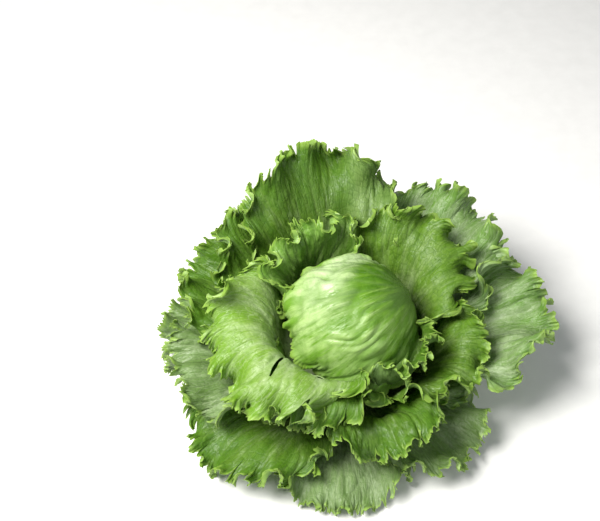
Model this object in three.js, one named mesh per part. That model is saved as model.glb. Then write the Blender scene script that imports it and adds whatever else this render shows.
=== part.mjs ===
// Crisphead lettuce as picked: a cut stem, a dense heart, two cap leaves wrapped on the heart,
// and loose wrapper leaves that stand and droop round it.
// Millimetres, +Z up. The origin is the centre of the stem's cut face, which stands on z = 0.
// Seen from the front (looking along +Y), azimuth 0 is right, 90 is behind and 180 is left.
import * as THREE from "three";

const { degToRad, lerp, clamp, smoothstep } = THREE.MathUtils;

// Head and stem
const HEAD_HEIGHT = 104; // the head's centre above the cut face
const HEAD_SQUASH = 0.95; // a head is a little flatter than a ball
const HEART_RADIUS = 63;
const HEART_SIDES = 36;
const HEART_ROWS = 18;
const HEART_RIDGES = 11; // folds that run up the heart and twist round it
const HEART_RIDGE_DEPTH = 0.9;
const HEART_TWIST = 15; // radians by which the ridges turn between the middle and a pole
const STEM_RADIUS = 16;
const STEM_CUT_RADIUS = 14.5; // the knife leaves a rounded edge
const STEM_EDGE = 2.5;
const STEM_SIDES = 28;
const STEM_TOP_RINGS = 4;
const CLEARANCE = 0.5; // between the stem and what grows from it

// Blades
const BLADE_THICKNESS = 1.0;
const RIB_THICKNESS = 1.6; // the midrib stands this far out of the back, at the base
const RIB_HALF_WIDTH = 8;
const RIB_TAPER = 1.5; // how fast the midrib thins towards the tip
const BASE_HALF_WIDTH = 14; // where a blade joins the stem
const BLADE_TURN = degToRad(120); // how far the outline runs round its centre, each way
const TOP_POWER = 0.85; // under 1 squares the shoulders of the blade
const WEDGE_POWER = 1.7; // over 1 narrows the blade towards its base
const TOOTH_DEPTH = 3.2; // the cut margin
const FLOOR_EASE = 7; // how softly a drooping blade comes to the surface
const PATH_STEPS = 16; // steps in following a midrib from the stem
const OUTLINE_STEPS = 240;
const NUDGE = 0.5; // a short way along the blade, for finding which way it faces

// Rows run from the stem to the margin, each a share of the way with its count of segments.
const WRAPPER_ROWS = [
  [0, 8],
  [0.1, 8],
  [0.2, 8],
  [0.3, 8],
  [0.42, 8],
  [0.56, 16],
  [0.7, 16],
  [0.85, 32],
  [1, 32],
];
const CAP_ROW_COUNT = 15;
const CAP_SEGMENTS = [6, 12, 24]; // near the stem, half way, near the margin

// Wrapper leaves, from the innermost to the outermost: azimuth, length and half width; flare, the headings
// of the midrib above the horizon half way from the head to the tip and at the tip; skew, by which the bend
// comes earlier on one side; droop, by which the sides hang; fold and frill, the depths of the waves.
const WRAPPERS = [
  { azimuth: 126, length: 180, width: 62, flare: [84, 62], skew: 0, droop: 0, fold: 3, frill: 4 },
  { azimuth: -42, length: 140, width: 58, flare: [62, 30], skew: 0, droop: 4, fold: 4, frill: 5 },
  { azimuth: 207, length: 206, width: 110, flare: [2, -52], skew: 0.4, droop: 0, fold: 5, frill: 6 },
  { azimuth: 46, length: 196, width: 82, flare: [38, -45], skew: -0.6, droop: 0, fold: 5, frill: 5 },
  { azimuth: 242, length: 162, width: 74, flare: [-12, -46], skew: 0, droop: 4, fold: 5, frill: 6 },
  { azimuth: 106, length: 255, width: 96, flare: [55, 34], skew: -0.4, droop: 0, fold: 5, frill: 5 },
  { azimuth: -18, length: 165, width: 80, flare: [30, -10], skew: 0, droop: 6, fold: 6, frill: 6 },
  { azimuth: 128, length: 222, width: 90, flare: [38, 12], skew: 0, droop: 4, fold: 6, frill: 6 },
  { azimuth: -72, length: 162, width: 82, flare: [6, -26], skew: 0, droop: 6, fold: 6, frill: 6 },
  { azimuth: 154, length: 214, width: 92, flare: [26, 0], skew: 0, droop: 6, fold: 7, frill: 6 },
  { azimuth: 50, length: 240, width: 100, flare: [38, 8], skew: 0, droop: 4, fold: 8, frill: 7 },
  { azimuth: 190, length: 206, width: 94, flare: [14, -14], skew: 0, droop: 6, fold: 6, frill: 6 },
  { azimuth: 10, length: 230, width: 98, flare: [28, -6], skew: 0, droop: 4, fold: 6, frill: 6 },
  { azimuth: 108, length: 214, width: 78, flare: [18, -8], skew: 0, droop: 12, fold: 6, frill: 6 },
  { azimuth: 220, length: 202, width: 88, flare: [0, -22], skew: 0, droop: 6, fold: 6, frill: 6 },
  { azimuth: -45, length: 168, width: 74, flare: [0, -20], skew: 0, droop: 6, fold: 6, frill: 6 },
  { azimuth: 162, length: 214, width: 89, flare: [6, -18], skew: 0, droop: 6, fold: 6, frill: 6 },
  { azimuth: 264, length: 170, width: 86, flare: [-4, -20], skew: 0, droop: 6, fold: 6, frill: 6 },
];
const WRAPPER_WIDEST = 0.7; // where a wrapper is widest, as a share of its length
// Every wrapper first follows the head's underside: its headings at the stem, half way and where it leaves
// the head, for the innermost wrapper and for the outermost, with the others spread between them.
const HUG_LENGTH = 96;
const HUG_INNER = [12, 44, 84];
const HUG_OUTER = [1, 6, 11];
const INNERMOST_BASE = 38; // height at which the innermost wrapper leaves the stem
const BASE_STEP = 1.9; // each later wrapper leaves it this much lower
// Waves of a wrapper, as counts round its margin. They grow between two shares of the length above.
const FOLD_WAVES = 3;
const FRILL_WAVES = 8;
const FOLD_SWAY = 0.8; // how far the folds are moved off an even spacing, in radians
const FRILL_SWAY = 0.9;
const SWAY_WAVES = 2;
const WAVES_FROM = 0.3;
const WAVES_FULL = 1.4;

// Cap leaves wrap the heart: the azimuth and height of the leaf's middle on the head, and how far its tip
// leans up from pointing west; radius, length and half width; lift and frill, how far the margin stands off.
const CAPS = [
  { azimuth: 92, height: 30, lean: 40, radius: 66.3, length: 225, width: 100, lift: 0, frill: 0.2 },
  { azimuth: -100, height: 45, lean: 35, radius: 69.4, length: 225, width: 105, lift: 3, frill: 2 },
];
const CAP_WIDEST = 0.6;
const CAP_WRINKLE = 0.35;
const CAP_WRINKLES = 6;
const CAP_FRILLS = 7;
const CAP_FIRST_SEED = 40;

const FINISH = {
  stem: { color: 0xdfe3bf, roughness: 0.6 },
  heart: { color: 0xb9dc84, roughness: 0.4 },
  cap: { color: 0xa3cf62, roughness: 0.35 },
  innerWrapper: { color: 0x79b13f, roughness: 0.45 },
  outerWrapper: { color: 0x5d9638, roughness: 0.45 },
};

const lettuce = new THREE.Group();

// A repeatable number from 0 to 1 for each seed and use.
function draw(seed, use) {
  const wide = Math.sin(seed * 12.9898 + use * 78.233) * 43758.5453;
  return wide - Math.floor(wide);
}

// A wave of this many turns round the margin, which runs from -1 to 1, with a start of its own for each leaf.
function turns(count, margin, leaf, use, shift = 0) {
  return Math.sin(Math.PI * (count * margin + 2 * draw(leaf.seed, use)) + shift);
}

// The outline of a flat blade whose base is at the origin, at a turn of -1 to 1 round its centre.
function outlineAt(blade, turn) {
  const angle = turn * BLADE_TURN;
  const out = Math.abs(Math.sin(angle));
  const up = Math.cos(angle);
  const power = up > 0 ? TOP_POWER : WEDGE_POWER;
  const widest = blade.widest * blade.length;
  return {
    x: Math.sign(turn) * blade.width * out ** power,
    y: up > 0 ? lerp(widest, blade.length, up) : widest * (1 + up),
  };
}

// The same outline by its length: a function from -1 to 1 with equal steps along the margin.
function evenOutline(blade) {
  const steps = Array.from({ length: OUTLINE_STEPS + 1 }, (_, i) => (2 * i) / OUTLINE_STEPS - 1);
  const lengths = [0];
  for (let i = 1; i < steps.length; i++) {
    const a = outlineAt(blade, steps[i - 1]);
    const b = outlineAt(blade, steps[i]);
    lengths.push(lengths[i - 1] + Math.hypot(b.x - a.x, b.y - a.y));
  }
  const whole = lengths[OUTLINE_STEPS];
  return (margin) => {
    const wanted = ((margin + 1) / 2) * whole;
    const next = lengths.findIndex((length) => length >= wanted);
    const i = next < 0 ? OUTLINE_STEPS : Math.max(1, next);
    const share = (wanted - lengths[i - 1]) / (lengths[i] - lengths[i - 1]);
    return outlineAt(blade, lerp(steps[i - 1], steps[i], share));
  };
}

// A smooth heading in radians through evenly spaced keys in degrees.
function headingAt(keys, place) {
  const i = clamp(Math.floor(place), 0, keys.length - 2);
  const t = clamp(place - i, 0, 1);
  const [b, c] = [keys[i], keys[i + 1]];
  const a = i > 0 ? keys[i - 1] : 2 * b - c;
  const d = i + 2 < keys.length ? keys[i + 2] : 2 * c - b;
  const slope = c - a;
  const bend = 2 * a - 5 * b + 4 * c - d;
  const twist = 3 * b - a - 3 * c + d;
  return degToRad(b + (t / 2) * (slope + t * (bend + t * twist)));
}

// A wrapper's surface: x across the flat blade, y along it from the stem.
function wrapperPoint(leaf, x, y) {
  const side = x / leaf.width;
  const step = y / PATH_STEPS;
  let r = STEM_RADIUS + CLEARANCE;
  let z = leaf.base;
  for (let i = 0; i < PATH_STEPS; i++) {
    const along = (i + 0.5) * step;
    const past = Math.max(0, along - HUG_LENGTH) / (leaf.length - HUG_LENGTH);
    const place = 2 * Math.min(1, along / HUG_LENGTH) + 2 * past * (1 + leaf.skew * side);
    const heading = headingAt(leaf.headings, place) - degToRad(leaf.droop) * side * side * past;
    r += Math.cos(heading) * step;
    z += Math.sin(heading) * step;
  }
  const angle = degToRad(leaf.azimuth) + x / r;
  return new THREE.Vector3(r * Math.cos(angle), r * Math.sin(angle), z);
}

// A cap leaf's surface: the flat blade wrapped on the head, true along every line through the leaf's middle.
function capPoint(leaf, x, y) {
  const [azimuth, height, lean] = [leaf.azimuth, leaf.height, leaf.lean].map(degToRad);
  const middle = new THREE.Vector3(
    Math.cos(height) * Math.cos(azimuth),
    Math.cos(height) * Math.sin(azimuth),
    Math.sin(height),
  );
  const west = new THREE.Vector3(Math.sin(azimuth), -Math.cos(azimuth), 0);
  const north = west.clone().cross(middle);
  const tip = west.multiplyScalar(Math.cos(lean)).addScaledVector(north, Math.sin(lean));
  const across = tip.clone().cross(middle);
  const along = y - leaf.widest * leaf.length;
  const far = Math.hypot(x, along) / leaf.radius;
  const shrink = far > 0 ? Math.sin(far) / far : 1;
  const point = middle.multiplyScalar(leaf.radius * Math.cos(far));
  point.addScaledVector(across, x * shrink).addScaledVector(tip, along * shrink);
  point.z = HEAD_HEIGHT + HEAD_SQUASH * point.z;
  return point;
}

// How far a wrapper stands out of its smooth surface: folds along the veins, and a frilled margin.
function wrapperWave(leaf, margin, out, y) {
  const grown = smoothstep(y, WAVES_FROM * HUG_LENGTH, WAVES_FULL * HUG_LENGTH);
  const fold = turns(FOLD_WAVES, margin, leaf, 1, FOLD_SWAY * turns(SWAY_WAVES, margin, leaf, 2));
  const frill = turns(FRILL_WAVES, margin, leaf, 3, FRILL_SWAY * turns(SWAY_WAVES, margin, leaf, 4));
  return grown * (leaf.fold * out ** 2 * fold + leaf.frill * out ** 5 * frill);
}

// How far a cap leaf stands out of the smooth head: wrinkles, and a margin that lifts in frills.
function capWave(leaf, margin, out) {
  const wrinkle = CAP_WRINKLE * turns(CAP_WRINKLES, margin, leaf, 5);
  const frill = (1 + turns(CAP_FRILLS, margin, leaf, 6)) / 2;
  return wrinkle * (1 - out) + out ** 6 * (leaf.lift + leaf.frill * frill);
}

// A closed thin solid over rows of points: the same triangles on both faces, and a rim round them.
function bladeGeometry(blade, rows, point, wave) {
  const outline = evenOutline(blade);
  const front = [];
  const back = [];
  const lines = rows.map(([out, segments]) => {
    const line = [];
    for (let i = 0; i <= segments; i++) {
      const margin = (2 * i) / segments - 1;
      line.push({ margin, index: front.length });
      const edge = outline(margin);
      const toothed = out === 1 && i % 2 === 0 && i > 0 && i < segments;
      const reach = out * (toothed ? 1 - TOOTH_DEPTH / Math.hypot(edge.x, edge.y) : 1);
      const x = (1 - out) * BASE_HALF_WIDTH * margin + reach * edge.x;
      const y = reach * edge.y;
      const here = point(blade, x, y);
      const across = point(blade, x + NUDGE, y).sub(here);
      const normal = across.cross(point(blade, x, y + NUDGE).sub(here)).normalize();
      here.addScaledVector(normal, wave(blade, margin, out, y));
      here.z = (here.z + Math.hypot(here.z, FLOOR_EASE)) / 2; // never below the surface it lies on
      const ridge = Math.exp(-((x / RIB_HALF_WIDTH) ** 2));
      const rib = RIB_THICKNESS * ridge * (1 - y / blade.length) ** RIB_TAPER;
      front.push(here.clone().addScaledVector(normal, -BLADE_THICKNESS / 2));
      back.push(here.clone().addScaledVector(normal, BLADE_THICKNESS / 2 + rib));
    }
    return line;
  });

  const triangles = [];
  const face = (a, b, c) => {
    triangles.push(a, c, b);
    triangles.push(a + front.length, b + front.length, c + front.length);
  };
  for (let row = 0; row + 1 < lines.length; row++) {
    const [low, high] = [lines[row], lines[row + 1]];
    let i = 0;
    let j = 0;
    while (i + 1 < low.length || j + 1 < high.length) {
      const nextLow = low[i + 1]?.margin ?? Infinity;
      const nextHigh = high[j + 1]?.margin ?? Infinity;
      if (nextLow <= nextHigh) {
        face(low[i].index, low[i + 1].index, high[j].index);
        i++;
      } else {
        face(low[i].index, high[j + 1].index, high[j].index);
        j++;
      }
    }
  }
  const between = lines.slice(1, -1);
  const rim = [
    ...lines[0],
    ...between.map((line) => line.at(-1)),
    ...lines.at(-1).toReversed(),
    ...between.map((line) => line[0]).reverse(),
  ].map((end) => end.index);
  rim.forEach((a, i) => {
    const b = rim[(i + 1) % rim.length];
    triangles.push(a, b, b + front.length);
    triangles.push(a, b + front.length, a + front.length);
  });

  return new THREE.BufferGeometry().setFromPoints([...front, ...back]).setIndex(triangles);
}

// The dense ball of inner leaves, with folds that twist up it.
function heartGeometry() {
  const ball = new THREE.SphereGeometry(HEART_RADIUS, HEART_SIDES, HEART_ROWS).rotateX(Math.PI / 2);
  const points = ball.getAttribute("position");
  const point = new THREE.Vector3();
  for (let i = 0; i < points.count; i++) {
    point.fromBufferAttribute(points, i);
    const up = point.z / HEART_RADIUS;
    const around = Math.atan2(point.y, point.x);
    const ridge = Math.cos(HEART_RIDGES * around + HEART_TWIST * up) * (1 - up * up);
    point.setLength(HEART_RADIUS + HEART_RIDGE_DEPTH * ridge);
    points.setXYZ(i, point.x, point.y, HEAD_HEIGHT + HEAD_SQUASH * point.z);
  }
  return ball;
}

// The stump: a knife-cut foot, and a top that cups the heart.
function stemGeometry() {
  const profile = [
    new THREE.Vector2(0, 0),
    new THREE.Vector2(STEM_CUT_RADIUS, 0),
    new THREE.Vector2(STEM_RADIUS, STEM_EDGE),
  ];
  const cup = HEART_RADIUS + HEART_RIDGE_DEPTH + CLEARANCE;
  for (let i = 0; i <= STEM_TOP_RINGS; i++) {
    const r = STEM_RADIUS * (1 - i / STEM_TOP_RINGS);
    profile.push(new THREE.Vector2(r, HEAD_HEIGHT - HEAD_SQUASH * Math.sqrt(cup ** 2 - r ** 2)));
  }
  return new THREE.LatheGeometry(profile, STEM_SIDES).rotateX(Math.PI / 2);
}

function addPiece(name, geometry, finish) {
  const piece = new THREE.Mesh(geometry, new THREE.MeshStandardMaterial({ ...finish, metalness: 0 }));
  piece.name = name;
  lettuce.add(piece);
}

addPiece("cut_stem", stemGeometry(), FINISH.stem);
addPiece("heart", heartGeometry(), FINISH.heart);

const capRows = Array.from({ length: CAP_ROW_COUNT }, (_, i) => {
  const zone = Math.floor((i * CAP_SEGMENTS.length) / CAP_ROW_COUNT);
  return [i / (CAP_ROW_COUNT - 1), CAP_SEGMENTS[zone]];
});
CAPS.forEach((cap, i) => {
  const leaf = { ...cap, widest: CAP_WIDEST, seed: CAP_FIRST_SEED + i };
  addPiece(`cap_leaf_${i + 1}`, bladeGeometry(leaf, capRows, capPoint, capWave), FINISH.cap);
});

WRAPPERS.forEach((wrapper, i) => {
  const open = i / (WRAPPERS.length - 1);
  const hug = HUG_INNER.map((heading, k) => lerp(heading, HUG_OUTER[k], open));
  const leaf = {
    ...wrapper,
    widest: WRAPPER_WIDEST,
    base: INNERMOST_BASE - BASE_STEP * i,
    headings: [...hug, ...wrapper.flare],
    seed: i + 1,
  };
  const finish = i < WRAPPERS.length / 2 ? FINISH.innerWrapper : FINISH.outerWrapper;
  const name = `wrapper_leaf_${String(i + 1).padStart(2, "0")}`;
  addPiece(name, bladeGeometry(leaf, WRAPPER_ROWS, wrapperPoint, wrapperWave), finish);
});

export default lettuce;
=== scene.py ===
"""The looks of a freshly cut crisphead lettuce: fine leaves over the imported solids, in a pale studio."""

import math

import bpy
import numpy as np
from mathutils import Matrix, Vector


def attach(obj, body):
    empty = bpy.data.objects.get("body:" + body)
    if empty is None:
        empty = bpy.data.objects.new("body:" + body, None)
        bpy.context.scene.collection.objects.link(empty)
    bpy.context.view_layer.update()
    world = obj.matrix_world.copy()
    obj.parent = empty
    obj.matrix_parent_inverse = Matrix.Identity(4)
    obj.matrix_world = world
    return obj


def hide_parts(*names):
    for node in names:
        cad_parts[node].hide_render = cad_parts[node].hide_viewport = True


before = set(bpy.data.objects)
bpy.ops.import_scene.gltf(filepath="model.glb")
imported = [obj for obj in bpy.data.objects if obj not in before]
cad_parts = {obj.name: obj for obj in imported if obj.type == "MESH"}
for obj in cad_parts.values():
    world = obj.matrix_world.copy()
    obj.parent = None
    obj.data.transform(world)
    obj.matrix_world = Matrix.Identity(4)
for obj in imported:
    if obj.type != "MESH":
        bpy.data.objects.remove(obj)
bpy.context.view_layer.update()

# Sizes are in millimetres and angles in degrees, as in the part's own source.
METRES = 0.001
BODY = "root"

# The head, the heart in it and the stump under it.
HEAD_HEIGHT = 104
HEAD_SQUASH = 0.95
HEART_RADIUS = 63
HEART_RIDGES = 11
HEART_RIDGE_DEPTH = 0.9
HEART_TWIST = 15
HEART_SIDES = 90
HEART_ROWS = 44
STEM_RADIUS = 16
STEM_CUT_RADIUS = 14.5
STEM_EDGE = 2.5
STEM_SIDES = 72
STEM_FOOT_STEPS = 6
STEM_SIDE_STEPS = 24
STEM_SHARP = 35
SCAR_COUNT = 3
SCAR_DEPTH = 0.35
SCAR_EASE = 3
SCAR_TWIST = 1.1
SCAR_POWER = 6
CLEARANCE = 0.5

# What every leaf blade shares.
BASE_HALF_WIDTH = 14
BLADE_TURN = math.radians(120)
TOP_POWER = 0.85
WEDGE_POWER = 1.7
FLOOR_EASE = 7
PATH_STEPS = 16
OUTLINE_STEPS = 240
NUDGE = 0.5
RIB_THICKNESS = 1.6
RIB_HALF_WIDTH = 8
RIB_TAPER = 1.5
MIDDLE_THICKNESS = 0.8
MARGIN_THICKNESS = 0.5
MARGIN_TAPER = 3
MARGIN_CROWD = 1.4
LEAF_SHARP = 60
TINY = 1e-9

# The common hash by which one number is drawn, and the waves that add up to smooth noise.
HASH_BY_SEED = 12.9898
HASH_BY_USE = 78.233
HASH_SPREAD = 43758.5453
LUMP_WAVES = 22
LUMP_PACE = (0.6, 1.4)

# A number for each use of a draw or of noise, so that no two uses on one leaf share their draws.
FOLD_USE, FOLD_SWAY_USE, FRILL_USE, FRILL_SWAY_USE, WRINKLE_USE, CAP_FRILL_USE, VEIN_USE = range(1, 8)
BLISTER_USE, PUCKER_USE, PATCH_USE = 15, 16, 18
LOBE_USE, TOOTH_USE = 31, 33
GROWTH_USE, EDGE_USE, SEED_USE = 41, 42, 43
SLACK_USE, CAP_SEED_USE, CAP_EDGE_USE = 51, 52, 56
WARP_USE, CREASE_USE, STRONG_USE = 61, 62, 66
CURL_USE = 71

# Rows of points from the base of a blade to its margin: share of the way, rows in the zone, columns in it.
ZONES = ((0.15, 4, 30), (0.35, 8, 60), (0.62, 14, 120), (0.82, 9, 240), (0.94, 6, 480), (1.0, 4, 960))
CAP_ZONES = ((0.15, 6, 30), (0.3, 14, 60), (0.46, 18, 120), (0.86, 34, 240), (0.95, 5, 480), (1.0, 4, 960))
TORN_ZONES = ((0.15, 4, 30), (0.35, 8, 60), (0.45, 8, 120), (0.82, 26, 240), (0.94, 6, 480), (1.0, 4, 960))
UNDER_ZONES = ((0.15, 6, 30), (0.32, 10, 60), (0.6, 16, 120), (0.95, 12, 240), (1.0, 3, 480))

# The tears of the brightest leaf: both ends, as a place on the margin and a share of the way out, and half
# the gap.
TEARS = (
    ((0.125, 0.575), (0.235, 0.76), 1.8),
    ((0.355, 0.6), (0.475, 0.672), 2.2),
    ((0.47, 0.84), (0.5, 1.16), 4.5),
)
TEAR_CORE = 0.1

# The wrapper leaves, from the innermost to the outermost. Flare is the heading half way along the free part
# and at its tip, and droop lowers the sides. Some leaves, by number, also have a skew, which changes the
# flare across them, a keel of their own, which is where a leaf folds and how strongly, or tears.
WRAPPER_FIELDS = ("azimuth", "length", "width", "flare", "droop", "fold", "frill", "look")
# The darker looks of leaves 12, 15 and 17 are partly painted shade, for leaves that lie in shade.
WRAPPERS = (
    (126, 180, 62, (84, 62), 0, 3, 4, "inner"),
    (-42, 140, 58, (62, 30), 4, 4, 5, "deep"),
    (207, 206, 110, (2, -52), 0, 5, 6, "bright"),
    (46, 196, 82, (38, -45), 0, 5, 5, "fresh"),
    (242, 162, 74, (-12, -46), 4, 5, 6, "deep"),
    (106, 255, 96, (55, 34), 0, 5, 5, "tall"),
    (-18, 165, 80, (30, -10), 6, 6, 6, "fresh"),
    (128, 222, 90, (38, 12), 4, 6, 6, "deep"),
    (-72, 162, 82, (6, -26), 6, 6, 6, "deep"),
    (154, 214, 92, (26, 0), 6, 7, 6, "deep"),
    (50, 240, 100, (38, 8), 4, 8, 7, "pale"),
    (190, 206, 94, (14, -14), 6, 6, 6, "outer"),
    (10, 230, 98, (28, -6), 4, 6, 6, "pale"),
    (108, 214, 78, (18, -8), 12, 6, 6, "deep"),
    (220, 202, 88, (0, -22), 6, 6, 6, "deep"),
    (-45, 168, 74, (0, -20), 6, 6, 6, "outer"),
    (162, 214, 89, (6, -18), 6, 6, 6, "outer"),
    (264, 170, 86, (-4, -20), 6, 6, 6, "outer"),
)
PLAIN_WRAPPER = dict(skew=0, keel=(0.0, 1.0))
WRAPPER_EXTRAS = {
    3: dict(skew=0.4, tears=TEARS),
    4: dict(skew=-0.6),
    6: dict(skew=-0.4, keel=(-0.2, 2.2)),
}
WRAPPER_WIDEST = 0.7
HUG_LENGTH = 96
HUG_INNER = (12, 44, 84)
HUG_OUTER = (1, 6, 11)
INNERMOST_BASE = 38
BASE_STEP = 1.9
FOLD_WAVES = 3
FRILL_WAVES = 8
FOLD_POWER = 2
FRILL_POWER = 5
FOLD_SWAY = 0.8
FRILL_SWAY = 0.9
SWAY_WAVES = 2
WAVES_FROM = 0.3
WAVES_FULL = 1.4

# The fold of a wrapper along its midrib.
KEEL_DEPTH = 8
KEEL_WIDTH = 16
KEEL_BAND = (0.15, 0.5)

# The two leaves that close over the head, the inner one first.
CAPS = (
    dict(
        azimuth=92, height=30, lean=40, radius=66.3, length=225, width=100,
        lift=0, frill=0.2, relief=0.25, skirt=0,
    ),
    dict(
        azimuth=-97, height=55, lean=-35, radius=69.4, length=225, width=105,
        lift=3, frill=2, relief=1.0, skirt=16,
    ),
)
CAP_WIDEST = 0.6
CAP_WRINKLE = 0.35
CAP_WRINKLES = 6
CAP_FRILLS = 7
CAP_FRILL_POWER = 6
CAP_BLISTERS = -0.2
CAP_CURLS = 0.2
CAP_TEETH = 0.28
CAP_CLEFTS = 0.4
CAP_FIRST_SEED = 40

# How a margin that grew longer than its leaf buckles into ruffles: a grid of points is relaxed by steps.
# A band is a pair of shares of the way out, and what it says sets in between them.
SHEET_ROWS = 40
SHEET_PHASES = ((300, 230), (600, 170))
SHEET_POWER = 1.3
PULL = 0.8
STIFFNESS = 0.5
HOLD_LOOSE = 0.0006
HOLD_FAST = 0.5

# The growth of a wrapper, how uneven it is, and the waves that it starts from.
GROWTH_WIDE = 0.22
GROWTH_MIDDLE = 1.0
GROWTH_EDGE = 0.9
WIDE_BAND = (0.45, 1)
MIDDLE_BAND = (0.7, 1)
EDGE_BAND = (0.9, 1)
LOOSE_BAND = (0.2, 0.6)
FRILL_BAND = (0.8, 0.97)
RIM_BAND = (0.93, 1)
SEED_BAND = (0.5, 1)
SEED_NARROW = 0.3
SEED_LONG = 2.5
SEED_WAVES = ((70, 12.0), (36, 7.0), (16, 1.0))
UNEVEN_GROWTH = dict(middle=0.8, swing=0.5, size=(70, 70), limits=(0.3, 1.4))
UNEVEN_EDGE = dict(middle=0.8, swing=0.6, size=(40, 40), limits=(0.2, 1.5))
RUFFLES = {"bright": 1.5, "inner": 1.2, "pale": 0.85}

# Stiffness against bends over a number of columns: everywhere, more inside the rim, more inside the frills.
FIRST_STIFFNESS = ((1, 0.8, 0, 0), (2, 0.1, 0, 0.3), (4, 0.02, 0, 0.25))
LAST_STIFFNESS = ((1, 0.8, 0, 0), (2, 0.2, 0.5, 0), (4, 0.02, 0.08, 0.35), (8, 0.003, 0.015, 0.25))
CAP_FIRST_STIFFNESS = ((1, 0.8, 0, 0), (2, 0.1, 0, 0.3), (4, 0.02, 0, 0.2))
CAP_LAST_STIFFNESS = ((1, 0.8, 0, 0), (2, 0.2, 0, 0.3), (4, 0.2, 0, 0.25), (8, 0.08, 0, 0.15))

# The notches of a margin: clefts between lobes, and pointed teeth. Small curls stand on its edge.
LOBE_STEPS = (4, 14)
LOBE_DEPTH = 9.0
LOBE_BAND = (0.72, 1)
CLEFT_DEPTH = 9.0
CLEFT_WIDTH = 2.0
TOOTH_STEPS = (1.0, 2.4)
TOOTH_DEPTH = 5.5
TOOTH_LEAST = 0.25
TOOTH_BAND = (0.95, 1)
CURL_SIZE = 3.5
CURL_HEIGHT = 2.2
CURL_BAND = (0.92, 1)
NOTCHLESS_ENDS = 0.05
SHORTEST_RAY = 20
SMOOTHER = {"pale": 0.28, "fresh": 0.4, "deep": 0.5, "tall": 0.4}

# The veins: how wide each kind starts, how it narrows, how wide it ends and how strongly it shows.
VEINS = {
    "midrib": dict(start=5.5, taper=1.3, end=1.2, strength=1.0),
    "lateral": dict(start=2.2, taper=0.8, end=1.1, strength=0.85),
    "branch": dict(start=0.8, taper=1, end=1.0, strength=0.55),
    "twig": dict(start=0, taper=1, end=1.0, strength=0.4),
}
LATERALS = 6
LATERAL_ROOM = 0.6
LATERAL_JITTER = 0.25
LATERAL_LEAVES = 0.3
LATERAL_LATER = 0.06
LATERAL_RUN = (0.12, 0.62)
LATERAL_POWER = 0.8
MIDRIB_WAVER = (0.01, 9)
LATERAL_WAVER = (0.012, 10)
WAVER_STARTS = 6
BRANCH_PARTS = (0.35, 0.62)
BRANCH_SPREAD = (0.28, 0.5)
BRANCH_RUN = 0.5
TWIG_PARTS = (0.62, 0.8)
TWIG_SPREAD = 0.5
TWIG_RUN = 0.35
OFF_BLADE = 9
HALO_WIDER = 3
HALO_WIDTH = 2
HALO_STRENGTH = 0.6

# The blisters and puckers between the veins, and the grooves over them.
BLISTER_SIZE = 14
BLISTER_LONG = 1.5
BLISTER_HEIGHT = 1.1
PUCKER_SIZE = 6.5
PUCKER_LONG = 1.3
PUCKER_HEIGHT = 0.3
GROOVE_DEPTH = 0.9
GROOVE_BAND = (0.05, 0.25)
RELIEF_BAND = (0.08, 0.4)
PATCH_SIZE = 60
PATCH_RANGE = (-0.6, 0.8)
BLISTERED = {"inner": 2.4}

# How loosely the cap leaves lie on the head: room to grow, and how far they may press in, rise and flare.
CAP_SLACK = 0.1
CAP_FRILL_GROWTH = 1.3
CAP_FRILL_PHASES = ((0.7, (0.8, 1)), (0.85, (0.82, 1)))
CAP_SEED_WAVES = ((36, 2.0), (18, 1.0), (9, 0.6))
CAP_SEED_LONG = 5
CAP_SEED_MORE = 2
CAP_PRESS = 0.8
CAP_RISE = 3.5
CAP_FLARE = 9.0
CAP_HOLD = 0.0024
CAP_SLACK_BAND = (0.1, 0.35)
CAP_SEED_BAND = (0.08, 0.3)
CAP_FAST_BAND = (0.04, 0.2)
CAP_LOOSE_BAND = (0.75, 0.92)
CAP_FLARE_BAND = (0.75, 1)
CAP_FRILL_BAND = (0.8, 0.98)
SKIRT_BAND = (0.7, 1)
SKIRT_SIDE = (0.35, 0.9)
UNEVEN_SLACK = dict(middle=0.5, swing=0.6, size=(60, 90), limits=(0, 1.3))
UNEVEN_CAP_EDGE = dict(middle=0.6, swing=0.8, size=(50, 50), limits=(0, 1.6))

# The folds of a leaf along its veins, which fan out from its base: size and height of each kind.
FAN_BASE = 45
FAN_SHARE = 0.5
CREASES = ((34, 3.8), (17, 2.4), (9, 0.35))
CREASE_LONG = 5
CREASE_WARP = 5.0
CREASE_WARP_SIZE = (50, 70)
CREASE_SINK = 1.4
CREASE_BAND = (0.25, 0.6)
CREASE_LEAST = 0.4
STRONG_SIZE = (60, 80)
STRONG_RANGE = (-1.2, 0.6)
# Where a fold counts as a valley, for the painted shade in the valleys.
VALLEY = (-0.8, 2.2)
WRAPPER_CREASES = -0.5

# The scales of the places that the patterns of a leaf are drawn by.
FLAT_SCALE = 100
FAN_ACROSS = 26
FAN_ALONG = 90
PATTERN_STEP = 3.7


def draw(seed, use):
    """A number from 0 to 1 that is always the same for one use on one leaf."""
    wide = math.sin(seed * HASH_BY_SEED + use * HASH_BY_USE) * HASH_SPREAD
    return wide - math.floor(wide)


def turns(count, margin, leaf, use, shift=0.0):
    """A wave of this many turns along the margin, with a start of its own for each leaf."""
    return np.sin(np.pi * (count * margin + 2 * draw(leaf["seed"], use)) + shift)


def smooth(value, low, high):
    """0 below low and 1 above high, with a smooth rise between."""
    share = np.clip((value - low) / (high - low), 0, 1)
    return share * share * (3 - 2 * share)


def lumps(leaf, use, across, along, wide, long):
    """Repeatable smooth noise of about -1 to 1, with lumps of this width and length."""
    pick = np.random.default_rng([leaf["seed"], use])
    total = np.zeros_like(across)
    for _ in range(LUMP_WAVES):
        heading = pick.uniform(0, 2 * np.pi)
        pace = 2 * np.pi * pick.uniform(*LUMP_PACE)
        start = pick.uniform(0, 2 * np.pi)
        total += np.sin(pace * (across / wide * np.cos(heading) + along / long * np.sin(heading)) + start)
    return total / math.sqrt(LUMP_WAVES)


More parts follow.
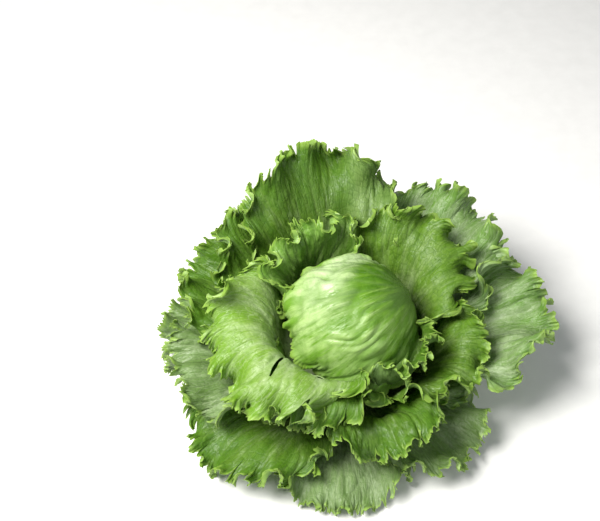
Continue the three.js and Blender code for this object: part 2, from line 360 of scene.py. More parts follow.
def uneven(leaf, use, across, along, middle, swing, size, limits):
    """A share that swings about its middle from place to place, and stays within its limits."""
    return np.clip(middle + swing * lumps(leaf, use, across, along, *size), *limits)


def fan_place(x, y):
    """A place on a flat blade: how far round its base, widened with the distance, and the distance."""
    far = np.hypot(x, y)
    return np.arctan2(x, y) * (FAN_BASE + FAN_SHARE * far), far


def flat_place(outline, margin, out):
    """The flat place of a point that is a share of the way out to a place on the margin."""
    edge_x, edge_y = outline(margin)
    return (1 - out) * BASE_HALF_WIDTH * margin + out * edge_x, out * edge_y


def outline_at(leaf, turn):
    """The outline of a flat blade with its base at the origin, at a turn of -1 to 1 round its centre."""
    angle = turn * BLADE_TURN
    out = np.abs(np.sin(angle))
    up = np.cos(angle)
    power = np.where(up > 0, TOP_POWER, WEDGE_POWER)
    widest = leaf["widest"] * leaf["length"]
    x = np.sign(turn) * leaf["width"] * out**power
    y = np.where(up > 0, widest + (leaf["length"] - widest) * up, widest * (1 + up))
    return x, y


def even_outline(leaf):
    """The same outline by its length: a function of -1 to 1, and the length of the whole margin."""
    steps = np.linspace(-1, 1, OUTLINE_STEPS + 1)
    x, y = outline_at(leaf, steps)
    lengths = np.concatenate([[0], np.cumsum(np.hypot(np.diff(x), np.diff(y)))])

    def outline(margin):
        return outline_at(leaf, np.interp((margin + 1) / 2 * lengths[-1], lengths, steps))

    return outline, lengths[-1]


def heading_at(keys, place):
    """A smooth heading in radians through evenly spaced keys in degrees."""
    first = 2 * keys[0] - keys[1]
    last = 2 * keys[-1] - keys[-2]
    ends = np.array([first, *keys, last], float)
    i = np.clip(np.floor(place).astype(int), 0, len(keys) - 2)
    t = np.clip(place - i, 0, 1)
    a, b, c, d = (ends[i + k] for k in range(4))
    slope = c - a
    bend = 2 * a - 5 * b + 4 * c - d
    twist = 3 * b - a - 3 * c + d
    return np.radians(b + t / 2 * (slope + t * (bend + t * twist)))


def wrapper_point(leaf, x, y):
    """A wrapper's smooth surface: x across the flat blade, y along it from the stem."""
    side = x / leaf["width"]
    step = y / PATH_STEPS
    r = np.full_like(x, STEM_RADIUS + CLEARANCE)
    z = np.full_like(x, leaf["base"])
    for i in range(PATH_STEPS):
        along = (i + 0.5) * step
        past = np.maximum(0, along - HUG_LENGTH) / (leaf["length"] - HUG_LENGTH)
        place = 2 * np.minimum(1, along / HUG_LENGTH) + 2 * past * (1 + leaf["skew"] * side)
        heading = heading_at(leaf["headings"], place) - math.radians(leaf["droop"]) * side**2 * past
        r += np.cos(heading) * step
        z += np.sin(heading) * step
    angle = math.radians(leaf["azimuth"]) + x / r
    return np.stack([r * np.cos(angle), r * np.sin(angle), z], axis=-1)


def cap_point(leaf, x, y):
    """A cap leaf's smooth surface: the flat blade wrapped on the head from the leaf's middle."""
    azimuth, height, lean = (math.radians(leaf[k]) for k in ("azimuth", "height", "lean"))
    middle = np.array(
        [math.cos(height) * math.cos(azimuth), math.cos(height) * math.sin(azimuth), math.sin(height)]
    )
    west = np.array([math.sin(azimuth), -math.cos(azimuth), 0])
    north = np.cross(west, middle)
    tip = west * math.cos(lean) + north * math.sin(lean)
    across = np.cross(tip, middle)
    along = y - leaf["widest"] * leaf["length"]
    far = np.hypot(x, along) / leaf["radius"]
    shrink = np.sinc(far / np.pi)
    point = np.multiply.outer(leaf["radius"] * np.cos(far), middle)
    point += np.multiply.outer(x * shrink, across)
    point += np.multiply.outer(along * shrink, tip)
    point[..., 2] = HEAD_HEIGHT + HEAD_SQUASH * point[..., 2]
    return point


def wrapper_wave(leaf, margin, out, y):
    """How far a wrapper's larger folds and frills stand out of its smooth surface."""
    grown = smooth(y, WAVES_FROM * HUG_LENGTH, WAVES_FULL * HUG_LENGTH)
    fold_sway = FOLD_SWAY * turns(SWAY_WAVES, margin, leaf, FOLD_SWAY_USE)
    frill_sway = FRILL_SWAY * turns(SWAY_WAVES, margin, leaf, FRILL_SWAY_USE)
    fold = turns(FOLD_WAVES, margin, leaf, FOLD_USE, fold_sway)
    frill = turns(FRILL_WAVES, margin, leaf, FRILL_USE, frill_sway)
    return grown * (leaf["fold"] * out**FOLD_POWER * fold + leaf["frill"] * out**FRILL_POWER * frill)


def keel(leaf, margin, out, whole):
    """How far a wrapper is folded to its back along its midrib."""
    place, strength = leaf["keel"]
    away = np.abs(margin - place) * out * whole / 2
    return strength * KEEL_DEPTH * smooth(out, *KEEL_BAND) * np.exp(-away / KEEL_WIDTH)


def cap_wave(leaf, margin, out):
    """How far a cap leaf's wrinkles and frilled margin stand out of the smooth head."""
    wrinkle = CAP_WRINKLE * turns(CAP_WRINKLES, margin, leaf, WRINKLE_USE)
    frill = (1 + turns(CAP_FRILLS, margin, leaf, CAP_FRILL_USE)) / 2
    return wrinkle * (1 - out) + out**CAP_FRILL_POWER * (leaf["lift"] + leaf["frill"] * frill)


def vein_map(leaf, margin, out, whole):
    """How much of a vein each point of a blade is, and of the halo round one."""
    pick = np.random.default_rng([leaf["seed"], VEIN_USE])
    scale = out * whole / 2 + (1 - out) * BASE_HALF_WIDTH
    found = np.zeros_like(margin)
    halo = np.zeros_like(margin)

    def add(kind, path, starts=-1):
        vein = VEINS[kind]
        width = vein["start"] * (1 - out) ** vein["taper"] + vein["end"]
        away = np.abs(margin - np.where(out > starts, path, OFF_BLADE)) * scale
        np.maximum(found, vein["strength"] * np.exp(-((away / width) ** 2)), out=found)
        wide = width * HALO_WIDER + HALO_WIDTH
        halo[:] += vein["strength"] * np.exp(-((away / wide) ** 2))

    def waver(size, pace):
        return size * np.sin(pace * out + pick.uniform(0, WAVER_STARTS))

    add("midrib", waver(*MIDRIB_WAVER))
    for side in (-1, 1):
        for k in range(1, LATERALS + 1):
            aim = side * (k + pick.uniform(-LATERAL_JITTER, LATERAL_JITTER)) / (LATERALS + LATERAL_ROOM)
            leaves = LATERAL_LEAVES * (1 - abs(aim)) + pick.uniform(0, LATERAL_LATER)
            bends = smooth(out, leaves - LATERAL_RUN[0], leaves + LATERAL_RUN[1])
            lateral = aim * bends**LATERAL_POWER + waver(*LATERAL_WAVER)
            add("lateral", lateral, leaves)
            for way in (-1, 1):
                parts = pick.uniform(*BRANCH_PARTS)
                spread = way * pick.uniform(*BRANCH_SPREAD) / LATERALS
                branch = lateral + spread * smooth(out, parts, parts + BRANCH_RUN)
                add("branch", branch, parts)
                parts = pick.uniform(*TWIG_PARTS)
                branch = branch - TWIG_SPREAD * spread * smooth(out, parts, parts + TWIG_RUN)
                add("twig", branch, parts)
    return found, np.minimum(1, HALO_STRENGTH * halo)


def scallops(leaf, use, length, steps):
    """Uneven steps along a margin: the share of the way over one, its length, and a value for it."""
    pick = np.random.default_rng([leaf["seed"], use])
    count = int(length.max() / steps[0]) + 3
    places = np.concatenate([[0], np.cumsum(pick.uniform(*steps, count))])
    values = pick.uniform(0, 1, count + 1)
    i = np.searchsorted(places, length, side="right") - 1
    size = places[i + 1] - places[i]
    share = (length - places[i]) / size
    return share, size, values[i] * (1 - share) + values[i + 1] * share


def margin_notch(leaf, out, length):
    """How far the margin draws back towards the base: clefts between lobes, and teeth."""
    share, size, deep = scallops(leaf, LOBE_USE, length, LOBE_STEPS)
    near = np.minimum(share, 1 - share) * size
    cleft = leaf["clefts"] * deep * (
        CLEFT_DEPTH * deep**0.5 * np.exp(-near / CLEFT_WIDTH) + LOBE_DEPTH * (2 * share - 1) ** 2
    )
    share, _, deep = scallops(leaf, TOOTH_USE, length, TOOTH_STEPS)
    tall = TOOTH_LEAST + (1 - TOOTH_LEAST) * deep
    tooth = TOOTH_DEPTH * leaf["teeth"] * tall * np.abs(2 * share - 1)
    return smooth(out, *LOBE_BAND) * cleft + smooth(out, *TOOTH_BAND) * tooth


def tear(leaf, outline, whole, margin, out, triangles):
    """Opens a leaf's tears: the points in one move to its edge, and the triangles between them go."""
    margin, out = margin.copy(), out.copy()
    gone = np.zeros(len(triangles), bool)
    for start, end, half_wide in leaf.get("tears", ()):
        middle = (np.array(start) + end) / 2
        scale = np.array([middle[1] * whole / 2, np.hypot(*outline(middle[0]))])
        reach = (np.array(end) - start) * scale / 2
        half_long = np.hypot(*reach)
        gap = (np.stack([margin, out], 1) - middle) * scale
        along = gap @ reach / half_long
        across = gap @ np.array([-reach[1], reach[0]]) / half_long
        far = np.hypot(along / half_long, across / half_wide)
        inside = far < 1
        gone |= inside[triangles].all(1)
        moved = middle + gap / np.maximum(far, TEAR_CORE)[:, None] / scale
        margin[inside], out[inside] = moved[inside].T
    used, places = np.unique(triangles[~gone], return_inverse=True)
    return margin[used], out[used], places.reshape(-1, 3)


def drawn_normals(point, leaf, x, y, here):
    """The unit normals of a leaf's smooth surface, which point to its back."""
    normal = np.cross(point(leaf, x + NUDGE, y) - here, point(leaf, x, y + NUDGE) - here)
    return normal / np.linalg.norm(normal, axis=-1, keepdims=True)


def above_floor(points):
    """The same points, eased up so that none is below the surface the lettuce lies on."""
    points[..., 2] = (points[..., 2] + np.hypot(points[..., 2], FLOOR_EASE)) / 2
    return points


def pull(near, far, rest):
    """Moves two sets of points towards their rest distance."""
    gap = far - near
    length = np.maximum(np.linalg.norm(gap, axis=-1), TINY)
    move = (0.5 * PULL * (1 - rest / length))[..., None] * gap
    near += move
    far -= move


def unbend(sheet, stiff, stride):
    """Straightens a sheet along its second axis by fourth differences, over steps of this many points."""
    count = sheet.shape[1]
    parts = [sheet[:, k * stride : count - (4 - k) * stride] for k in range(5)]
    curl = parts[0] - 4 * parts[1] + 6 * parts[2] - 4 * parts[3] + parts[4]
    middle = slice(2 * stride, count - 2 * stride)
    sheet[:, middle] -= stiff[:, middle] / 16 * curl


def sheet_grid(outline, count):
    """The margin, the share of the way out and the flat place of each point of a grid over a blade."""
    rows = np.linspace(0, 1, SHEET_ROWS + 1)[:, None]
    columns = np.linspace(-1, 1, count + 1)[None, :]
    margin, out = np.broadcast_arrays(columns, 1 - (1 - rows) ** SHEET_POWER)
    return margin, out, *flat_place(outline, margin, out)


def finer(sheet):
    """The same sheet with twice the columns, by the four-point rule."""
    before = np.concatenate([sheet[:, :1], sheet[:, :-1]], 1)[:, :-1]
    after = np.concatenate([sheet[:, 1:], sheet[:, -1:]], 1)[:, 1:]
    result = np.empty((sheet.shape[0], 2 * sheet.shape[1] - 1, 3))
    result[:, ::2] = sheet
    result[:, 1::2] = (9 * (sheet[:, :-1] + sheet[:, 1:]) - before - after) / 16
    return result


def relax(base, aim, sheet, growth, hold, stiffness, steps, keep=None):
    """Lets a sheet that grew buckle: it keeps its lengths, bends little and stays near its aim."""
    base, aim, sheet = (points.astype(np.float32) for points in (base, aim, sheet))
    growth, hold = growth.astype(np.float32), hold.astype(np.float32)
    stiffness = [(stride, stiff.astype(np.float32)) for stride, stiff in stiffness]
    run = np.gradient(base, axis=1)
    run /= np.maximum(np.linalg.norm(run, axis=-1, keepdims=True), TINY)

    def rest(a, b):
        gap = base[b] - base[a]
        along = (gap * run[a]).sum(-1)
        grown_along = along * (growth[a] + growth[b]) / 2
        return np.sqrt(grown_along**2 + np.maximum(0, (gap * gap).sum(-1) - along**2))

    every, first, last = slice(None), slice(None, -1), slice(1, None)
    links = [
        ((every, first), (every, last)),
        ((first, every), (last, every)),
        ((first, first), (last, last)),
        ((first, last), (last, first)),
    ]
    rests = [rest(a, b) for a, b in links]
    even = np.full_like(base[..., :1], STIFFNESS).transpose(1, 0, 2)
    for _ in range(steps):
        for (a, b), distance in zip(links, rests):
            pull(sheet[a], sheet[b], distance)
        for stride, stiff in stiffness:
            unbend(sheet, stiff, stride)
        unbend(sheet.transpose(1, 0, 2), even, 1)
        sheet += hold[..., None] * (aim - sheet)
        if keep is not None:
            keep(sheet)
    return sheet


def stiff_by(rows, rim, inner):
    """How stiff a sheet is at each point, against bends over each number of columns."""
    rim, inner = rim[..., None], inner[..., None]
    return [(stride, level + by_rim * rim + by_inner * inner) for stride, level, by_rim, by_inner in rows]


def wrapper_sheet(leaf, outline, whole):
    """A wrapper's ruffled sheet: its margin grew in two steps, and more in some places than in others."""
    sheet = None
    for columns, steps in SHEET_PHASES:
        margin, out, x, y = sheet_grid(outline, columns)
        base = wrapper_point(leaf, x, y)
        normal = drawn_normals(wrapper_point, leaf, x, y, base)
        length = (margin + 1) / 2 * whole
        free = smooth(y, WAVES_FROM * HUG_LENGTH, WAVES_FULL * HUG_LENGTH)
        some = uneven(leaf, GROWTH_USE, length, 0 * length, **UNEVEN_GROWTH)
        growth = GROWTH_WIDE * smooth(out, *WIDE_BAND)
        growth = leaf["ruffles"] * (growth + GROWTH_MIDDLE * some * smooth(out, *MIDDLE_BAND) ** 2)
        folded = wrapper_wave(leaf, margin, out, y) + keel(leaf, margin, out, whole)
        aim = base + normal * folded[..., None]
        hold = HOLD_LOOSE + HOLD_FAST * (1 - smooth(out, *LOOSE_BAND))
        inner = 1 - smooth(out, *FRILL_BAND)
        rim = 1 - smooth(out, *RIM_BAND)
        if sheet is None:
            sheet = aim.copy()
            across = margin * (SEED_NARROW + (1 - SEED_NARROW) * out) * whole / 2
            along = out * leaf["length"]
            for use, (size, height) in enumerate(SEED_WAVES):
                seed = height * lumps(leaf, SEED_USE + use, across, along, size, SEED_LONG * size)
                sheet += normal * (free * smooth(out, *SEED_BAND) * seed)[..., None]
            stiffness = stiff_by(FIRST_STIFFNESS, rim, inner)
        else:
            sheet = finer(sheet)
            more = uneven(leaf, EDGE_USE, length, 0 * length, **UNEVEN_EDGE)
            growth = growth + GROWTH_EDGE * more * smooth(out, *EDGE_BAND) ** 2
            stiffness = stiff_by(LAST_STIFFNESS, rim, inner)
        sheet = relax(base, aim, sheet, 1 + free * growth, hold, stiffness, steps)
    return sheet


def cap_sheet(leaf, outline, whole):
    """A cap leaf's sheet: it grew too wide for the head, so it wrinkles along its veins and frills."""
    sheet = None
    middle = np.array([0, 0, HEAD_HEIGHT])
    squash = np.array([1, 1, HEAD_SQUASH])
    for (columns, steps), (share, edge_band) in zip(SHEET_PHASES, CAP_FRILL_PHASES):
        margin, out, x, y = sheet_grid(outline, columns)
        base = cap_point(leaf, x, y)
        normal = drawn_normals(cap_point, leaf, x, y, base)
        across, far = fan_place(x, y)
        length = (margin + 1) / 2 * whole
        slack = uneven(leaf, SLACK_USE, across, far, **UNEVEN_SLACK)
        more = uneven(leaf, CAP_EDGE_USE, length, 0 * length, **UNEVEN_CAP_EDGE)
        growth = CAP_SLACK * slack * smooth(out, *CAP_SLACK_BAND)
        growth = growth + share * CAP_FRILL_GROWTH * more * smooth(out, *edge_band) ** 2
        skirt = leaf["skirt"] * smooth(out, *SKIRT_BAND) * smooth(-x / leaf["width"], *SKIRT_SIDE)
        flared = smooth(out, *CAP_FLARE_BAND)
        aim = base + normal * (cap_wave(leaf, margin, out) + skirt)[..., None]
        hold = HOLD_LOOSE + CAP_HOLD * (1 - smooth(out, *CAP_LOOSE_BAND))
        hold = hold + HOLD_FAST * (1 - smooth(out, *CAP_FAST_BAND))
        inner = 1 - smooth(out, *CAP_FRILL_BAND)
        if sheet is None:
            sheet = aim.copy()
            for use, (size, height) in enumerate(CAP_SEED_WAVES):
                waves = lumps(leaf, CAP_SEED_USE + use, across, far, size, CAP_SEED_LONG * size)
                seed = leaf["relief"] * height * waves
                rise = smooth(out, *CAP_SEED_BAND) * (1 + CAP_SEED_MORE * flared)
                sheet += normal * (rise * seed)[..., None]
            stiffness = stiff_by(CAP_FIRST_STIFFNESS, inner, inner)
        else:
            sheet = finer(sheet)
            stiffness = stiff_by(CAP_LAST_STIFFNESS, inner, inner)
        low = leaf["radius"] - CAP_PRESS * leaf["relief"]
        high = leaf["radius"] + leaf["relief"] * (CAP_RISE + leaf["relief"] * (CAP_FLARE + skirt) * flared)

        def keep(points):
            away = (points - middle) / squash
            radius = np.linalg.norm(away, axis=-1)
            points[:] = middle + away * (np.clip(radius, low, high) / radius)[..., None] * squash

        sheet = relax(base, aim, sheet, 1 + leaf["relief"] * growth, hold, stiffness, steps, keep)
    return sheet


def curve_weights(t):
    """The weights of four neighbours on a smooth curve, at a share of the way between the middle two."""
    return (
        -0.5 * t + t**2 - 0.5 * t**3,
        1 - 2.5 * t**2 + 1.5 * t**3,
        0.5 * t + 2 * t**2 - 1.5 * t**3,
        0.5 * (t**3 - t**2),
    )


def sample(sheet, row, column):
    """Points of a sheet between its rows and columns."""
    rows, columns = sheet.shape[0] - 1, sheet.shape[1] - 1
    i = np.clip(np.floor(row).astype(int), 0, rows - 1)
    j = np.clip(np.floor(column).astype(int), 0, columns - 1)
    total = 0
    for a, down in enumerate(curve_weights(row - i)):
        for b, over in enumerate(curve_weights(column - j)):
            near = sheet[np.clip(i + a - 1, 0, rows), np.clip(j + b - 1, 0, columns)]
            total = total + (down * over)[:, None] * near
    return total


def blade_relief(leaf, out, x, y, vein):
    """A blade's fine relief: blisters and puckers between the veins, and grooves over them."""
    free = smooth(out, *RELIEF_BAND) * (1 - vein)
    where = smooth(lumps(leaf, PATCH_USE, x, y, PATCH_SIZE, PATCH_SIZE), *PATCH_RANGE)
    blister = np.abs(lumps(leaf, BLISTER_USE, x, y, BLISTER_SIZE, BLISTER_SIZE * BLISTER_LONG))
    pucker = lumps(leaf, PUCKER_USE, x, y, PUCKER_SIZE, PUCKER_SIZE * PUCKER_LONG)
    lift = -free * where * (BLISTER_HEIGHT * blister + PUCKER_HEIGHT * pucker)
    return lift + GROOVE_DEPTH * vein * smooth(out, *GROOVE_BAND)


def creases(leaf, out, x, y):
    """The folds of a leaf along its veins, with sharp valleys, and how much of a valley a place is, which
    sets where shade is painted.
    """
    across, far = fan_place(x, y)
    across = across + CREASE_WARP * lumps(leaf, WARP_USE, across, far, *CREASE_WARP_SIZE)
    total = np.full_like(far, -CREASE_SINK)
    for use, (size, height) in enumerate(CREASES):
        total += height * np.abs(lumps(leaf, CREASE_USE + use, across, far, size, CREASE_LONG * size))
    strong = smooth(lumps(leaf, STRONG_USE, across, far, *STRONG_SIZE), *STRONG_RANGE)
    share = smooth(out, *CREASE_BAND) * (CREASE_LEAST + (1 - CREASE_LEAST) * strong)
    return total * share, share * (1 - smooth(total, *VALLEY))


def blade_grid(zones):
    """The points of a blade by rows: margin, share of the way out, and the triangles between them."""
    margins, outs, rows = [], [], []
    count = 0
    start = 0.0
    for end, steps, columns in zones:
        power = MARGIN_CROWD if end == 1 else 1
        shares = start + (end - start) * (1 - (1 - np.linspace(0, 1, steps + 1)) ** power)
        for out in shares[1 if rows else 0 :]:
            margins.append(np.linspace(-1, 1, columns + 1))
            outs.append(np.full(columns + 1, out))
            rows.append((count, columns))
            count += columns + 1
        start = end
    triangles = []
    for (low, few), (high, many) in zip(rows, rows[1:]):
        i = np.arange(few)
        a, b = low + i, low + i + 1
        if few == many:
            c, d = high + i + 1, high + i
            triangles += [np.stack([a, b, c], 1), np.stack([a, c, d], 1)]
        else:
            c, d, e = high + 2 * i, high + 2 * i + 1, high + 2 * i + 2
            triangles += [np.stack([a, d, c], 1), np.stack([a, b, d], 1), np.stack([b, e, d], 1)]
    return np.concatenate(margins), np.concatenate(outs), np.concatenate(triangles)


def vertex_normals(points, triangles):
    """The unit normal at each point of a sheet."""
    a, b, c = (points[triangles[:, k]] for k in range(3))
    facing = np.cross(b - a, c - a)
    total = np.zeros_like(points)
    for k in range(3):
        np.add.at(total, triangles[:, k], facing)
    return total / np.maximum(np.linalg.norm(total, axis=1, keepdims=True), TINY)


def open_edges(triangles, count):
    """The directed edges of a sheet that belong to one triangle only."""
    edges = np.concatenate([triangles[:, [0, 1]], triangles[:, [1, 2]], triangles[:, [2, 0]]])
    keys = edges[:, 0] * count + edges[:, 1]
    back = edges[:, 1] * count + edges[:, 0]
    return edges[~np.isin(keys, back)]


def add_piece(name, points, faces, material, node, attributes=None, sharp=LEAF_SHARP):
    """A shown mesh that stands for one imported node."""
    mesh = bpy.data.meshes.new(name)
    mesh.from_pydata((points * METRES).tolist(), [], faces.tolist())
    for key, values in (attributes or {}).items():
        kind = "FLOAT" if values.ndim == 1 else "FLOAT_VECTOR"
        field = "value" if values.ndim == 1 else "vector"
        layer = mesh.attributes.new(key, kind, "POINT")
        layer.data.foreach_set(field, values.astype(np.float32).ravel())
    mesh.shade_smooth()
    mesh.set_sharp_from_angle(angle=math.radians(sharp))
    mesh.materials.append(material)
    piece = bpy.data.objects.new(name, mesh)
    bpy.context.scene.collection.objects.link(piece)
    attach(piece, BODY)
    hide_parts(node)


def add_blade(name, leaf, zones, sheet_of, material, node):
    """A thin closed blade with veins, blisters, ruffles and a toothed margin."""
    outline, whole = even_outline(leaf)
    margin, out, triangles = tear(leaf, outline, whole, *blade_grid(zones))
    length = (margin + 1) / 2 * whole
    notch = smooth(1 - np.abs(margin), 0, NOTCHLESS_ENDS) * margin_notch(leaf, out, length)
    reach = out * (1 - notch / np.maximum(np.hypot(*outline(margin)), SHORTEST_RAY))
    x, y = flat_place(outline, margin, reach)
    row = SHEET_ROWS * (1 - (1 - np.minimum(1, reach)) ** (1 / SHEET_POWER))
    sheet = sheet_of(leaf, outline, whole)
    column = (sheet.shape[1] - 1) * (margin + 1) / 2
    here = sample(sheet, row, column)
    vein, halo = vein_map(leaf, margin, out, whole)
    lift = leaf["blisters"] * blade_relief(leaf, out, x, y, vein)
    crease, valley_shade = creases(leaf, reach, x, y)
    lift += leaf["creases"] * crease
    curl = lumps(leaf, CURL_USE, length, 0 * length, CURL_SIZE, CURL_SIZE)
    lift += CURL_HEIGHT * leaf["curls"] * smooth(out, *CURL_BAND) * curl
    here = above_floor(here + vertex_normals(here, triangles) * lift[:, None])
    points, faces = close_blade(leaf, here, triangles, out, x, y)
    seed = np.full_like(out, leaf["seed"] * PATTERN_STEP)
    fan = [margin * whole / FAN_ACROSS, out * leaf["length"] / FAN_ALONG, seed]
    patterns = {
        "flat": np.stack([x / FLAT_SCALE, y / FLAT_SCALE, seed], 1),
        "fan": np.stack(fan, 1),
        "vein": vein,
        "halo": halo,
        "valley_shade": valley_shade,
    }
    attributes = {key: np.concatenate([values, values]) for key, values in patterns.items()}
    faces_of = [np.stack([margin, out, np.full_like(out, under)], 1) for under in (0, 1)]
    attributes["blade"] = np.concatenate(faces_of)
    add_piece(name, points, faces, material, node, attributes)


def close_blade(leaf, here, triangles, out, x, y):
    """A thin solid over a sheet of points: the same triangles on both faces, and a rim round them."""
    facing = vertex_normals(here, triangles)
    half = (MIDDLE_THICKNESS + (MARGIN_THICKNESS - MIDDLE_THICKNESS) * out**MARGIN_TAPER) / 2
    ridge = np.exp(-((x / RIB_HALF_WIDTH) ** 2))
    rib = RIB_THICKNESS * ridge * np.maximum(0, 1 - y / leaf["length"]) ** RIB_TAPER
    front = here - facing * half[:, None]
    back = here + facing * (half + rib)[:, None]
    count = len(here)
    edges = open_edges(triangles, count)
    a, b = edges[:, 0], edges[:, 1]
    rim = [np.stack([a, b, b + count], 1), np.stack([a, b + count, a + count], 1)]
    faces = np.concatenate([triangles[:, ::-1], triangles + count, *rim])
    return np.concatenate([front, back]), faces


class Shader:
    """A material made of nodes."""

    def __init__(self, name):
        self.material = bpy.data.materials.new(name)
        self.material.use_nodes = True
        self.tree = self.material.node_tree
        self.tree.nodes.clear()

    def add(self, kind, sockets=None, **settings):
        node = self.tree.nodes.new("ShaderNode" + kind)
        for key, value in settings.items():
            setattr(node, key, value)
        for key, value in (sockets or {}).items():
            if isinstance(value, bpy.types.NodeSocket):
                self.tree.links.new(value, node.inputs[key])
            elif node.inputs[key].type == "RGBA":
                node.inputs[key].default_value = (*value, 1.0)
            else:
                node.inputs[key].default_value = value
        return node

    def get(self, kind, sockets=None, **settings):
        return self.add(kind, sockets, **settings).outputs[0]

    def attribute(self, name, output):
        return self.add("Attribute", attribute_name=name).outputs[output]

    def noise(self, place, scale, detail, rough=0.55, output=0):
        sockets = {"Vector": place, "Scale": scale, "Detail": detail, "Roughness": rough}
        return self.add("TexNoise", sockets).outputs[output]

    def cells(self, place, scale):
        sockets = {"Vector": place, "Scale": scale}
        return self.add("TexVoronoi", sockets, feature="DISTANCE_TO_EDGE").outputs["Distance"]

    def math(self, kind, a, b):
        return self.get("Math", {0: a, 1: b}, operation=kind)

    def spread(self, value, low, high, to_low, to_high):
        sockets = {0: value, 1: low, 2: high, 3: to_low, 4: to_high}
        return self.get("MapRange", sockets)

    def plus(self, a, b):
        return self.math("ADD", a, b)

    def times(self, a, b):
        return self.math("MULTIPLY", a, b)

    def moved(self, place, drift, size):
        shift = self.get("VectorMath", {0: drift, 3: size}, operation="SCALE")
        return self.get("VectorMath", {0: place, 1: shift}, operation="ADD")

    def mix(self, share, a, b):
        return self.add("Mix", {0: share, 6: a, 7: b}, data_type="RGBA").outputs[2]

    def ramp(self, value, stops):
        node = self.add("ValToRGB", {0: value})
        elements = node.color_ramp.elements
        while len(elements) < len(stops):
            elements.new(0.5)
        for element, (place, tint) in zip(elements, stops):
            element.position = place
            element.color = (*tint, 1.0)
        return node.outputs[0]

    def skin(self, tone, rough, **sockets):
        return self.get("BsdfPrincipled", {"Base Color": tone, "Roughness": rough, **sockets})

    def finish(self, surface):
        self.add("OutputMaterial", {"Surface": surface})
        return self.material


# The looks of each kind of leaf. Colours are reflected light: at the base, in the middle, near the margin,
# in dark spots, as painted shade in the valleys of folds and along a net of fine grooves, on the veins and
# on the back. Half tints a part of a leaf, and sets in at these places on the margin and on the way out: on
# the bright leaf it is painted shade on its lower side, on the tall leaf a paler side. Low darkens the
# head's lower side, partly as a greener colour and partly as painted shade; high is a painted highlight on
# its upper side.
PLAIN_LOOK = dict(marks=1.0, valley_shade=0.3, thread="dark_marks_and_shade")
DEEP_LOOK = dict(
    PLAIN_LOOK,
    base=(0.38, 0.50, 0.24), middle=(0.11, 0.22, 0.02), outer=(0.10, 0.23, 0.015),
    dark_marks_and_shade=(0.042, 0.125, 0.006), vein=(0.30, 0.45, 0.13), under=(0.26, 0.41, 0.14),
    vein_share=0.4, halo_share=0.18, gloss=0.38, net=0.45,
)
LOOKS = {
    "cap": dict(
        stops=[
            (0.3, (0.07, 0.20, 0.006)),
            (0.5, (0.17, 0.36, 0.022)),
            (0.66, (0.47, 0.66, 0.24)),
            (0.8, (0.44, 0.64, 0.20)),
            (1.0, (0.20, 0.41, 0.04)),
        ],
        # Low is partly painted shade on the head's lower side, partly its greener colour; high is a painted
        # highlight on its upper side.
        dark_marks_and_shade=(0.14, 0.32, 0.025), vein=(0.62, 0.78, 0.40), low=(0.17, 0.36, 0.045), high=(0.66, 0.80, 0.48),
        speck=(0.03, 0.04, 0.015),
        vein_share=0.12, halo_share=0.0, gloss=0.22, net=0.12, marks=0.5, valley_shade=0.6, thread="dark_marks_and_shade",
    ),
    "inner": dict(
        PLAIN_LOOK,
        base=(0.50, 0.66, 0.28), middle=(0.24, 0.43, 0.08), outer=(0.17, 0.36, 0.04),
        dark_marks_and_shade=(0.09, 0.22, 0.02), vein=(0.46, 0.62, 0.24), under=(0.34, 0.52, 0.16),
        vein_share=0.6, halo_share=0.3, gloss=0.3, net=0.5,
    ),
    # Its half is painted shade on the leaf's lower side.
    "bright": dict(
        PLAIN_LOOK,
        base=(0.50, 0.63, 0.33), middle=(0.29, 0.46, 0.10), outer=(0.20, 0.39, 0.028),
        dark_marks_and_shade=(0.12, 0.27, 0.012), vein=(0.52, 0.66, 0.34), under=(0.36, 0.54, 0.18),
        half=(0.10, 0.235, 0.015), half_at=(0.2, 0.6), half_out=(0.6, 0.85),
        vein_share=0.7, halo_share=0.3, gloss=0.32, net=0.35, thread="vein",
    ),
    "fresh": dict(
        PLAIN_LOOK,
        base=(0.44, 0.57, 0.26), middle=(0.155, 0.285, 0.034), outer=(0.13, 0.275, 0.016),
        dark_marks_and_shade=(0.055, 0.15, 0.006), vein=(0.36, 0.53, 0.17), under=(0.32, 0.49, 0.16),
        vein_share=0.45, halo_share=0.2, gloss=0.38, net=0.6,
    ),
    "pale": dict(
        PLAIN_LOOK,
        base=(0.50, 0.61, 0.38), middle=(0.30, 0.43, 0.185), outer=(0.17, 0.33, 0.06),
        dark_marks_and_shade=(0.10, 0.22, 0.03), vein=(0.54, 0.65, 0.42), under=(0.34, 0.48, 0.22),
        vein_share=0.6, halo_share=0.45, gloss=0.36, net=0.35, thread="vein",
    ),
    "deep": DEEP_LOOK,
    "outer": dict(
        PLAIN_LOOK,
        base=(0.44, 0.54, 0.32), middle=(0.23, 0.345, 0.135), outer=(0.18, 0.295, 0.085),
        dark_marks_and_shade=(0.09, 0.175, 0.035), vein=(0.42, 0.52, 0.30), under=(0.30, 0.42, 0.19),
        vein_share=0.55, halo_share=0.3, gloss=0.36, net=0.4, thread="vein",
    ),
    "tall": dict(DEEP_LOOK, half=(0.27, 0.41, 0.13), half_at=(-0.17, -0.25), half_out=(0.0, 0.1)),
}
# A pale rim on every margin, partly painted highlight where the margin catches the light.
PALE_EDGE_AND_HIGHLIGHT = (0.38, 0.58, 0.10)
GLOW = 0.3
GLOW_TINT = (0.42, 0.66, 0.06)
TONE_STOPS = (0.0, 0.45, 0.85)

# The patterns of a leaf: the scale, detail and roughness of each noise, and the nets of cells.
NOISE_RANGE = (0.3, 0.7)
CLOUD = (2.6, 3.0)
MOTTLE = (11.0, 4.0)
STREAK = (1.0, 4.0, 0.6)
FINE = (5.0, 3.0, 0.6)
DRIFT = (7.0, 2.0)
THREADS = (3.4, 2.0, 0.5)
NET_SCALE, NET_DRIFT, NET_LINE = 14.0, 0.06, 0.08
RIB_SCALE, RIB_DRIFT, RIB_LINE = 2.4, 0.3, 0.05
THREAD_LINE = 0.022
SPECK_SCALE = 2.0

